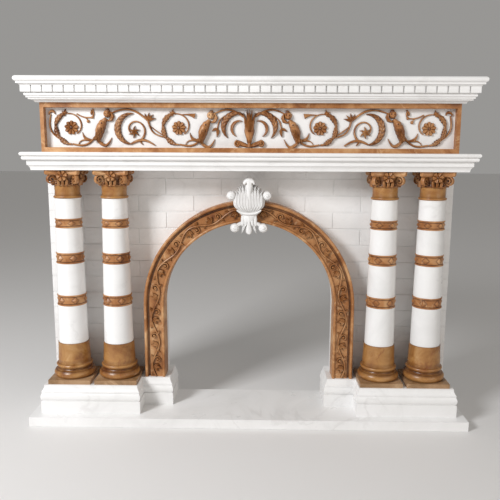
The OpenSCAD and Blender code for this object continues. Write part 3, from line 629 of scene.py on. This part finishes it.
def key_cores():
    """Two oval cores: ellipses that shrink as they come forward, one behind the fan and one behind the
    stem."""
    a = np.linspace(0, 2 * np.pi, 40, endpoint=False)
    cores = []
    for middle, wide, tall, deep in ((142, 46, 58, 30), (76, 33, 34, 28)):
        rows = [np.stack([wide * s * np.cos(a), np.full(40, y), middle + tall * s * np.sin(a)], axis=1)
                for y, s in ((KEY_BACK, 1.0), (-2.0, 1.0), (-deep * 0.6, 0.9), (-deep, 0.55))]
        cores.append(loft(np.array(rows)))
    return cores


def curled_top():
    """The fan's top curls over: a ridge that bows across two eyes painted dark with shade, and the
    middle leaflet's rib.
    """
    brow = smooth([(-21, 210, 12), (-14, 220, 22), (0, 225, 28), (14, 220, 22), (21, 210, 12)])
    rib = smooth([(0, 130, 12), (0, 170, 20), (0, 198, 32), (0, 218, 34), (0, 232, 16)])
    eyes = [dome((x, 213), 5.5, 6, 36, shade=0.9) for x in (-13, 13)]
    return [ridge(brow, 17, 24, back=20)] + eyes + [ridge(rib, 17, 25, groove=0.12, back=20)]


def cup_and_tie():
    """The cup's lip, a ridge that sags in the middle, and the tie below it."""
    lip = smooth([(-50, 104, 9), (-30, 92, 14), (0, 88, 15), (30, 92, 14), (50, 104, 9)])
    tie = smooth([(-35, 86, 5), (0, 82, 6), (35, 86, 5)])
    return [ridge(lip, 15, 22, back=20), ridge(tie, 9, 20, back=20)]


def fluted_stem():
    """Five upright flutes whose feet spread a little, over a drop that widens and comes to a point."""
    flutes = [ridge(smooth([(x * 0.95, 82, 14), (x, 66, 17), (x, 50, 15), (x * 1.1, 36, 6)]), 12,
                    18 - abs(x) * 0.2, groove=0.15, back=16) for x in (-26, -13, 0, 13, 26)]
    drop = smooth([(0, 50, 16), (0, 34, 24), (0, 18, 30), (0, 8, 26), (0, 1, 8)])
    return flutes + [ridge(drop, 18, 12, groove=0.14, back=14)]


# %% Its side scrolls, and the whole keystone
def ball_scroll(centre, radius, lift, side):
    """A rolled leaf end: a rounded boss with a spiral line raised on it."""
    line = arc(centre, (radius * 0.78, 2.0), (90, 90 - side * 560), (4.5, 4.5, 3.0), 44)
    climb = np.linspace(lift + radius * 0.62, lift + radius * 1.03, 44)
    return [dome(centre, radius, radius * 1.05, lift, 12, 28),
            dome(centre, radius, -radius * 0.9, lift, 12, 28),
            ridge(line, 3.0, climb, around=10)]


def side_scrolls(s):
    """On side s, -1 or 1: a ball beside the fan and one beside the stem, with the stalks that carry them
    and a pointed leaf below."""
    upper = smooth([(s * 40, 128, 16), (s * 56, 138, 16), (s * 66, 150, 14)])
    lower = smooth([(s * 20, 52, 16), (s * 38, 44, 18), (s * 52, 36, 16)])
    spike = smooth([(s * 14, 54, 10), (s * 22, 30, 13), (s * 31, 3, 1)])
    return (ball_scroll((s * 74, 162), 20, 12, s) + ball_scroll((s * 59, 28), 20, 12, s)
            + [ridge(upper, 14, 6, back=12), ridge(lower, 16, 8, groove=0.2, back=14),
               ridge(spike, 14, 10, groove=0.25, back=12)])


key_low, key_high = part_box("keystone")
key_scale = ((key_high.x - key_low.x) / KEY_WIDE, MM, (key_high.z - key_low.z) / KEY_TALL)
arch_low, arch_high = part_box("arch_surround")
keystone_parts = (palmette() + key_cores() + curled_top() + cup_and_tie() + fluted_stem()
                  + side_scrolls(-1) + side_scrolls(1))
piece("palmette_keystone", [moved(p, key_scale, to=(0.0, arch_low.y, key_low.z)) for p in keystone_parts],
      "white_marble", "keystone", crease=60)

# %% [markdown]
# ## The turned stones of the columns
#
# A lathe turns a stone against a fixed outline, so a base or a necking is an outline spun round the
# column. The banded rings were turned and then cut with small pointed bosses, six to a ring.

# %% Outlines spun round the column
def rounded(stops, steps=7):
    """An outline (radius, height) whose marked stretches swell. Each stop is (radius, height, bulge):
    the way to the next stop bows outwards by bulge at its middle, as a parabola."""
    stops = np.array(stops, float)
    t = np.linspace(0, 1, steps)[None, :]
    a, b = stops[:-1, None, :], stops[1:, None, :]
    radius = a[..., 0] * (1 - t) + b[..., 0] * t + a[..., 2] * 4 * t * (1 - t)
    height = a[..., 1] * (1 - t) + b[..., 1] * t
    return np.stack([radius.ravel(), height.ravel()], axis=1)


def spun(outline, around=96):
    """Circles of the outline's radii at its heights. A place is as hollow as its neighbours, three and
    six points away along the outline, stand further out than it does, and its hollow value paints
    shade there."""
    a = np.linspace(0, 2 * np.pi, around, endpoint=False)[None, :]
    radius, height = outline[:, :1], outline[:, 1:]
    level = np.broadcast_to(height, (len(outline), around))
    rows = np.stack([radius * np.cos(a), radius * np.sin(a), level], axis=-1)
    near = np.maximum.reduce([np.roll(radius, step) for step in (-6, -3, 3, 6)])
    hollow = np.clip((near - radius) / 9.0, 0, 0.8)
    return loft(rows, np.broadcast_to(hollow, (len(outline), around)).copy())


COLUMNS = ("left_outer", "left_inner", "right_inner", "right_outer")


def column_stone(kind, column, parts, finish, **more):
    """Puts parts, drawn in millimetres round the column's axis and up from the stone's foot, in place."""
    low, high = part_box(kind + "_" + column)
    middle = (low + high) / 2
    placed = [moved(p, (MM, MM, MM), to=(middle.x, middle.y, low.z)) for p in parts]
    return piece("turned_" + kind + "_" + column, placed, finish, kind + "_" + column, **more)


def stone_size(name):
    """A stone's radius across X, its radius across Y and its height, in millimetres."""
    low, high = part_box(name)
    return (high.x - low.x) / 2 / MM, (high.y - low.y) / 2 / MM, (high.z - low.z) / MM


# %% Bases and neckings
TORUS_TOP, HOLLOW_TOP, BEAD_TOP, FLARE_TOP = 31, 46, 58, 76    # heights up the base


def base_outline(r, h, shaft):
    """Up the base: a half-round torus, a sunk hollow, a bead, a flare in to the drum, and the plain drum."""
    return rounded([(r - 8, 0.0, 8), (r - 8, TORUS_TOP, 0), (r - 12, TORUS_TOP + 1, -6),
                    (r - 13, HOLLOW_TOP, 0), (r - 13, HOLLOW_TOP + 1, 3), (r - 14, BEAD_TOP, 0),
                    (r - 18, BEAD_TOP + 2, -1), (shaft + 6, FLARE_TOP, 0), (shaft + 5, FLARE_TOP + 14, 0),
                    (shaft + 3, h - 1, 0), (shaft + 2, h, 0)])


def necking_outline(r, h):
    """Up the necking: a rounded band at the foot, a step in, and a plain drum with a faint waist."""
    return rounded([(r - 1.5, 0, 0), (r, 1.5, 1.5), (r, 9, 0), (r - 4, 11, 0), (r - 5, h / 2, 0),
                    (r - 4, h - 2, 0), (r - 5, h, 0)])


base_r, _, base_h = stone_size("base_left_outer")
shaft_r = stone_size("drum_1_left_outer")[0]
base = spun(base_outline(base_r, base_h, shaft_r))
for column in COLUMNS:
    column_stone("base", column, [base], "ochre_marble", crease=30)
    necking_r, _, necking_h = stone_size("necking_" + column)
    column_stone("necking", column, [spun(necking_outline(necking_r, necking_h))], "ochre_marble", crease=30)

# %% Banded rings with pointed bosses
BOSSES = 6                              # bosses on a ring
BOSS_OUT = 6.5                          # how far a boss's point stands out
BOSS_HALF = 15                          # half its width, round the ring
LIP_OUT = 2.6                           # how far a lip stands out
LIP_TALL = 7.0                          # height of the lip at each edge, with its slope


def boss_ring(radius, tall, around=360):
    """A ring whose wall stands out by a lip at both edges and by a four-sided point at each boss.

    A point's height falls evenly with the distance round the ring plus the distance up from its
    middle. The hollow value, which paints shade, is high beside the lips and round the foot of each
    point."""
    edges = np.array([0, 0.8, 5.5, LIP_TALL])
    heights = np.concatenate([edges, np.linspace(LIP_TALL + 2, tall - LIP_TALL - 2, 21), tall - edges[::-1]])
    a = np.linspace(0, 2 * np.pi, around, endpoint=False)
    spacing = 2 * np.pi / BOSSES
    past = (a + np.pi / 2 - spacing / 2) % spacing
    round_it = np.minimum(past, spacing - past)[None, :] * radius
    up = np.abs(heights - tall / 2)[:, None]
    size = min(14.0, tall / 2 - 9)
    point = BOSS_OUT * np.clip(1 - round_it / BOSS_HALF - up / size, 0, 1)
    edge = np.minimum(heights, tall - heights)[:, None]
    lip = np.where(edge < 0.5, 1.0, np.where(edge < LIP_TALL - 0.5, LIP_OUT, 0.0))
    r = radius + lip + point
    rows = np.stack([r * np.cos(a), r * np.sin(a), np.broadcast_to(heights[:, None], r.shape)], axis=-1)
    rim = np.clip(1 - np.abs(round_it / BOSS_HALF + up / size - 1.05) * 4, 0, 1) * 0.9
    beside_lip = np.where((edge > LIP_TALL - 0.4) & (edge < LIP_TALL + 2.5), 0.8, 0)
    return loft(rows, np.clip(beside_lip + rim * (edge > LIP_TALL), 0, 1))


for column in COLUMNS:
    for kind in ("ring_1", "ring_2", "ring_3"):
        across, deep, tall = stone_size(kind + "_" + column)
        ring = boss_ring(min(across - LIP_OUT, deep - BOSS_OUT), tall)
        column_stone(kind, column, [ring], "brown_marble", crease=24)

# %% [markdown]
# ## The capitals
#
# A slab with hollow sides sits on four scrolls at its corners, with a flower on each side and leaves
# round the bell below. The scrolls are flat straps rolled up, so each is a strap of even width carried
# along a line that climbs the bell and winds up in a spiral under the slab's corner.

# %% Slab, strap and leaf
def slab_loop(half, hollow, z, corner=0.87, steps=17):
    """One loop of the slab: four sides that sink by a parabola towards their middles, with cut corners."""
    t = np.linspace(-corner, corner, steps)
    sides = np.stack([half - hollow * (1 - (t / corner) ** 2), t * half], axis=1)
    turns = [np.array([[math.cos(q), math.sin(q)], [-math.sin(q), math.cos(q)]])
             for q in np.arange(4) * np.pi / 2]
    flat = np.concatenate([sides @ turn for turn in turns])
    return np.column_stack([flat, np.full(len(flat), z)])


def strap(line, thick, wide, turn):
    """A flat strap along a line (out, up) in the upright plane at angle turn: each section is a rounded
    rectangle, thick across the line and wide across the plane."""
    run = np.gradient(line, axis=0)
    run /= np.linalg.norm(run, axis=1, keepdims=True)
    a = np.linspace(0, 2 * np.pi, 16, endpoint=False)
    across = np.sign(np.cos(a)) * np.abs(np.cos(a)) ** 0.6 * thick / 2
    beside = np.sign(np.sin(a)) * np.abs(np.sin(a)) ** 0.5 * wide / 2
    out = line[:, :1] - run[:, 1:] * across
    up = line[:, 1:] + run[:, :1] * across
    rows = np.stack([out, np.broadcast_to(beside, out.shape), up], axis=-1)
    # One face of the strap is painted darker, as shade.
    return moved(loft(rows, np.broadcast_to(0.35 * (across < 0), out.shape).copy()), turn=turn)


def on_side(part, out, up, turn):
    """Stands a part drawn on a wall against the side of the capital that faces the angle turn."""
    return moved(moved(part, to=(0, -out, up)), turn=turn + np.pi / 2)


# %% The whole capital
BELL_R = 50                             # radius of the bell where the leaves stand on it


def slab_and_bell(half, slab, tall):
    """The slab, loops that grow out of the scrolls and shrink a little at the top edge, and the bell, an
    outline that flares up to the slab."""
    steps = ((slab, 5), (slab + 3, 2.2), (slab + 4, 2), (slab + 5, 0.3), (tall - 1, 0), (tall, 0.8))
    loops = [slab_loop(half - inset, 13, z) for z, inset in steps]
    bell = rounded([(54, 0, 2), (54, 5, 0), (BELL_R, 6, -2), (51, 28, 0), (58, slab + 1, 0)])
    return [loft(np.array(loops)), spun(bell, 72)]


def capital_parts(half, tall):
    """The slab and bell, then on each quarter a rolled strap and a broad leaf under the corner, three
    narrow leaves that lean out evenly, and a flower on the side of the slab."""
    slab = tall * 0.69
    parts = slab_and_bell(half, slab, tall)
    climb = smooth([(BELL_R, 10), (53, 24), (60, 35), (70, 41)], 8)
    curl = arc((half * 0.96, slab - 19), (20, 3.5), (118, -480), (1, 1), 64)[:, :2]
    rolled = np.concatenate([climb, curl])
    broad = ridge(smooth([(0, 2, 22), (0, 14, 28), (0, 24, 20), (0, 31, 4)]), 9, groove=0.3, veins=4,
                  vein=0.12, lobes=4, lobe=0.2)
    narrow = [ridge(smooth([(x, 0, 8), (x * 1.2, 12, 13), (x * 1.3, 22, 10), (x * 1.1, 27, 3)]), 11,
                    np.linspace(0, 7, 25), groove=0.35) for x in (-14, 0, 14)]
    for k in range(4):
        corner, side = (k + 0.5) * np.pi / 2, k * np.pi / 2
        parts += [strap(rolled, 6.0, 17.0, corner), on_side(broad, BELL_R, 0, corner)]
        parts += [on_side(p, BELL_R, 0, side) for p in narrow]
        parts += [on_side(p, half - 14, tall - 23, side) for p in flower((0, 0), 22, 6, 11)]
    return parts


cap_half, _, cap_tall = stone_size("capital_left_outer")
capital = capital_parts(cap_half, cap_tall)
for column in COLUMNS:
    column_stone("capital", column, capital, "brown_marble")

# %% [markdown]
# ## The arch
#
# One moulding runs up the left jamb, over the round arch and down the right jamb. Its outline is swept
# along that way. A vine is carved on the sunk field: it is drawn along a straight strip, by the
# distance from the foot of the jamb and the distance across, and the strip is then bent round the arch.

# %% The way round the arch
ARCH_WIDTH = 88.0                       # width of the moulding, from the opening outwards
SWEEP_AT = 39.0                         # lengths along the arch are measured this far out
FIELD_DEPTH = 8.0                       # how deep the field that carries the vine is sunk

arch_inner = (arch_high.x - arch_low.x) / 2 / MM - ARCH_WIDTH
foot_z = arch_low.z / MM
jamb = arch_high.z / MM - (arch_inner + ARCH_WIDTH) - foot_z
spring_z = foot_z + jamb
quarter = np.pi / 2 * (arch_inner + SWEEP_AT)
arch_front = arch_low.y / MM
arch_depth = (arch_high.y - arch_low.y) / MM


def way_round(along, across):
    """Where a point lies that is so far along the arch from its left foot, and so far out from the
    opening: straight up the jamb, then round half a circle, then straight down."""
    turn = np.clip((along - jamb) / (arch_inner + SWEEP_AT), 0, np.pi)
    past = np.clip(along - jamb - 2 * quarter, 0, None)
    r = arch_inner + across
    z = np.where(along < jamb, foot_z + along, spring_z + r * np.sin(turn) - past)
    return -r * np.cos(turn), z


def bent(part, front, side):
    """Bends a part drawn as (along, out, across) up the jamb and round to the crown, on one side."""
    places, quads, ends, shade = part
    along, out, across = places.T
    x, z = way_round(along, across)
    placed = np.stack([x * side, out + front, z], axis=1)
    if signed_volume(placed - placed.mean(axis=0), quads) < 0:
        quads = quads[:, ::-1]
        ends = ends[:, ::-1]
    return moved((placed, quads, ends, shade), (MM, MM, MM))


# %% The moulding
BEAD_R, ROLL_R = 6.0, 6.5               # radii of the bead at the opening and of the outer roll
FIELD_EDGE = 64                         # the sunk field ends this far out from the opening
GROOVE_DEPTH = 7                        # the groove beside it is sunk this much deeper


def arch_outline(back):
    """Across the arch, as (across, out from the front): a half-round bead, the sunk field, a groove, a
    half-round roll at the outer edge, and then the flat back."""
    half_turn = np.linspace(0, np.pi, 11)
    bead = np.stack([BEAD_R - BEAD_R * np.cos(half_turn), BEAD_R - BEAD_R * np.sin(half_turn)], axis=1)
    roll_at = ARCH_WIDTH - ROLL_R
    roll = np.stack([roll_at - ROLL_R * np.cos(half_turn), ROLL_R - ROLL_R * np.sin(half_turn)], axis=1)
    groove = FIELD_DEPTH + GROOVE_DEPTH
    field = [[12.5, FIELD_DEPTH], [FIELD_EDGE, FIELD_DEPTH], [FIELD_EDGE + 1, FIELD_DEPTH + 2],
             [FIELD_EDGE + 2, groove], [roll_at - ROLL_R - 1, groove], [roll_at - ROLL_R, BEAD_R]]
    return np.concatenate([bead, field, roll, [[ARCH_WIDTH, back], [0, back]]])


def arch_moulding():
    """The outline swept along the whole way round, in short steps where the way is curved."""
    outline = arch_outline(arch_depth)
    straight = np.linspace(0, jamb, 12)
    curved = np.linspace(0, np.pi, 97)[1:] * (arch_inner + SWEEP_AT)
    along = np.concatenate([straight, jamb + curved, jamb + 2 * quarter + straight[1:]])[:, None]
    x, z = way_round(along, outline[None, :, 0])
    rows = np.stack([x, np.broadcast_to(outline[None, :, 1], x.shape), z], axis=-1)
    # Painted shade in the groove beside the field, and a faint one on the field.
    sunk = (outline[:, 1] > FIELD_DEPTH + 1) & (outline[:, 1] < arch_depth - 1)
    shade = np.where(sunk, 0.6, 0.0) + np.where(np.isclose(outline[:, 1], FIELD_DEPTH), 0.06, 0.0)
    return loft(rows, np.broadcast_to(shade, rows.shape[:2]).copy())


# %% The vine
VINE_MIDDLE = 38.5                      # the stem swings about this line, so far out from the opening


def vine(length, swing=16.0, bends=9):
    """A stem that swings from side to side of the field as a sine, with a leaf of three lobes, a berry,
    a spiral curl and two side leaves in each bend."""
    s = np.linspace(4, length - 4, 260)
    swung = VINE_MIDDLE + swing * np.sin(np.pi * bends * s / length)
    parts = [ridge(np.stack([s, swung, np.full(260, 9.0)], axis=1), 9, back=1.5, around=12, root=0.75)]
    step = length / bends
    for k in range(bends):
        way = 1 if k % 2 == 0 else -1
        x = (k + 0.5) * step
        foot = (x - 8, VINE_MIDDLE + swing * way - way * 6)
        eye = (x - 8, VINE_MIDDLE - way * 5)
        parts += [leaf(foot, (eye[0] + dx, eye[1] - way * dy), wide, 12, 0.1, root=0.8)
                  for dx, dy, wide in ((-20, 2, 15), (-5, 17, 17), (13, 9, 15))]
        berry = (x + 27, VINE_MIDDLE - way * 7)
        curl = arc(berry, (15, 4), (90 * way, way * (90 - 430)), (6, 6.5, 4), 36)
        parts += [ridge(curl, 9.5, around=10, root=0.8), dome(berry, 5.5, 10)]
        root_z = VINE_MIDDLE + way * 7
        parts += [leaf((x + step * 0.30, root_z), (x + step * 0.46, VINE_MIDDLE + way * 21), 13, 10, 0.15,
                       root=0.8),
                  leaf((x - step * 0.30, root_z), (x - step * 0.44, VINE_MIDDLE + way * 20), 11, 9, -0.15,
                       root=0.8)]
    return parts


moulding = moved(arch_moulding(), (MM, MM, MM), to=(0, arch_low.y, 0))
vines = [bent(p, arch_front + FIELD_DEPTH, side) for p in vine(jamb + quarter) for side in (1, -1)]
piece("vine_arch", [moulding] + vines, "brown_marble", "arch_surround", crease=35)


# %% [markdown]
# ## Floor, light and camera
#
# A pale floor and a large soft lamp at the upper left, as in a studio. A weaker, warmer one on the
# right keeps the shaded sides of the columns from going black.

# %% Floor and backdrop
def plain_material(name, colour, roughness):
    """One even colour and roughness."""
    material = bpy.data.materials.new(name)
    material.use_nodes = True
    shader = material.node_tree.nodes["Principled BSDF"]
    shader.inputs["Base Color"].default_value = (*colour, 1.0)
    shader.inputs["Roughness"].default_value = roughness
    return material


FLOOR_REACH = 30.0                      # metres from the middle to each edge
FLOOR_DROP = 0.0005                     # the floor lies this far under the hearth
floor_mesh = bpy.data.meshes.new("floor")
floor_mesh.from_pydata([(x * FLOOR_REACH, y * FLOOR_REACH, cad_low.z - FLOOR_DROP)
                        for x, y in ((-1, -1), (1, -1), (1, 1), (-1, 1))], [], [(0, 1, 2, 3)])
floor = bpy.data.objects.new("floor", floor_mesh)
floor.data.materials.append(plain_material("pale_floor", (0.80, 0.79, 0.78), 0.7))
bpy.context.scene.collection.objects.link(floor)

# %% Lamps
def lamp(name, place, aim, width, power, colour):
    """A square area lamp at a place, turned to an aim."""
    data = bpy.data.lights.new(name, "AREA")
    data.size, data.energy, data.color = width, power, colour
    made = bpy.data.objects.new(name, data)
    bpy.context.scene.collection.objects.link(made)
    made.location = place
    made.rotation_euler = (Vector(aim) - Vector(place)).to_track_quat("-Z", "Y").to_euler()
    return made


lamp("key", place=(-2.7, -2.7, 2.7), aim=(0.0, 0.0, 0.85), width=1.1, power=148.0,
     colour=(0.98, 0.985, 1.0))
lamp("fill", place=(2.8, -2.8, 1.6), aim=(0.1, 0.0, 0.6), width=2.2, power=26.0,
     colour=(1.0, 0.93, 0.86))
world = bpy.data.worlds.new("studio")
bpy.context.scene.world = world
world.use_nodes = True
world.node_tree.nodes["Background"].inputs["Color"].default_value = (0.95, 0.93, 0.90, 1.0)
world.node_tree.nodes["Background"].inputs["Strength"].default_value = 0.33
bpy.context.scene.view_settings.view_transform = "Standard"

# %% Camera
LENS, SENSOR = 43.14, 36.0              # millimetres
STANDPOINT = (0.0464, -2.4957, 1.1405)  # a little right of the middle, in front, at chest height
TURN, TILT, ROLL = 0.0168, 0.1638, 0.0048    # radians: to the left, down, and anticlockwise
camera_data = bpy.data.cameras.new("camera")
camera_data.lens, camera_data.sensor_width = LENS, SENSOR
camera_data.clip_start, camera_data.clip_end = 0.05, 100.0
camera = bpy.data.objects.new("camera", camera_data)
bpy.context.scene.collection.objects.link(camera)
camera.matrix_world = (
    Matrix.Translation(STANDPOINT)
    @ Matrix.Rotation(TURN, 4, "Z")
    @ Matrix.Rotation(math.pi / 2 - TILT, 4, "X")
    @ Matrix.Rotation(ROLL, 4, "Z"))
bpy.context.scene.camera = camera
